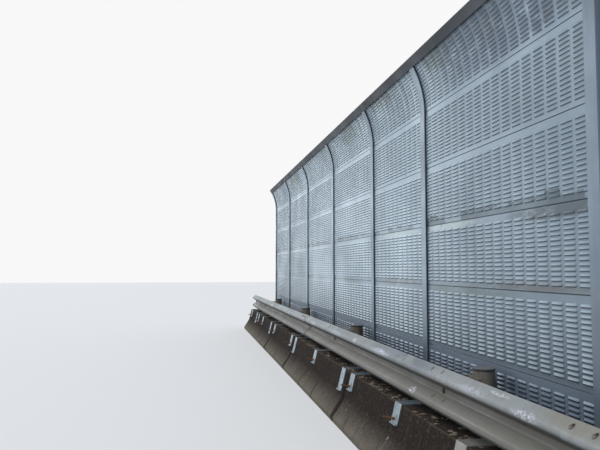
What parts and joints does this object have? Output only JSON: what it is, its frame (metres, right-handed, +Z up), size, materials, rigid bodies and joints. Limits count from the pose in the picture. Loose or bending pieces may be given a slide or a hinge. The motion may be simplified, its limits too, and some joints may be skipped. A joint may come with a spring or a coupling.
{
  "type": "highway noise barrier",
  "caption": "Roadside noise barrier of louvred metal panels between steel posts that bend forward at the top, on a concrete parapet with a two-wave crash rail.",
  "frame": {"origin": "middle of the parapet's underside, at road level", "axes": "+X along the road, -Y faces the traffic, +Z up"},
  "size_m": [14, 0.89, 3.349],
  "materials": {
    "concrete": "weathered cast concrete",
    "post_steel": "grey-blue paint",
    "panel_sheet": "light grey-blue coated sheet",
    "seal_rubber": "black",
    "cap_steel": "dark grey",
    "rail_galvanised": "weathered galvanised",
    "rail_post_steel": "dull brown-grey, dirty",
    "strap_galvanised": "bright galvanised"
  },
  "bodies": {
    "root": {"barrier_post_1": "post_steel", "barrier_post_2": "post_steel", "barrier_post_3": "post_steel", "barrier_post_4": "post_steel", "barrier_post_5": "post_steel", "barrier_post_6": "post_steel", "barrier_post_7": "post_steel", "bay_1_panels": "panel_sheet", "bay_1_seals": "seal_rubber", "bay_1_top_panel": "panel_sheet", "bay_2_panels": "panel_sheet", "bay_2_seals": "seal_rubber", "bay_2_top_panel": "panel_sheet", "bay_3_panels": "panel_sheet", "bay_3_seals": "seal_rubber", "bay_3_top_panel": "panel_sheet", "bay_4_panels": "panel_sheet", "bay_4_seals": "seal_rubber", "bay_4_top_panel": "panel_sheet", "bay_5_panels": "panel_sheet", "bay_5_seals": "seal_rubber", "bay_5_top_panel": "panel_sheet", "bay_6_panels": "panel_sheet", "bay_6_seals": "seal_rubber", "bay_6_top_panel": "panel_sheet", "crash_rail_1": "rail_galvanised", "crash_rail_2": "rail_galvanised", "crash_rail_3": "rail_galvanised", "parapet_1": "concrete", "parapet_2": "concrete", "parapet_3": "concrete", "parapet_4": "concrete", "rail_post_1": "rail_post_steel", "rail_post_2": "rail_post_steel", "rail_post_3": "rail_post_steel", "rail_post_4": "rail_post_steel", "saddle_straps_1": "strap_galvanised", "saddle_straps_2": "strap_galvanised", "saddle_straps_3": "strap_galvanised", "saddle_straps_4": "strap_galvanised", "top_cap_1": "cap_steel", "top_cap_2": "cap_steel", "top_cap_3": "cap_steel"}
  },
  "joints": []
}
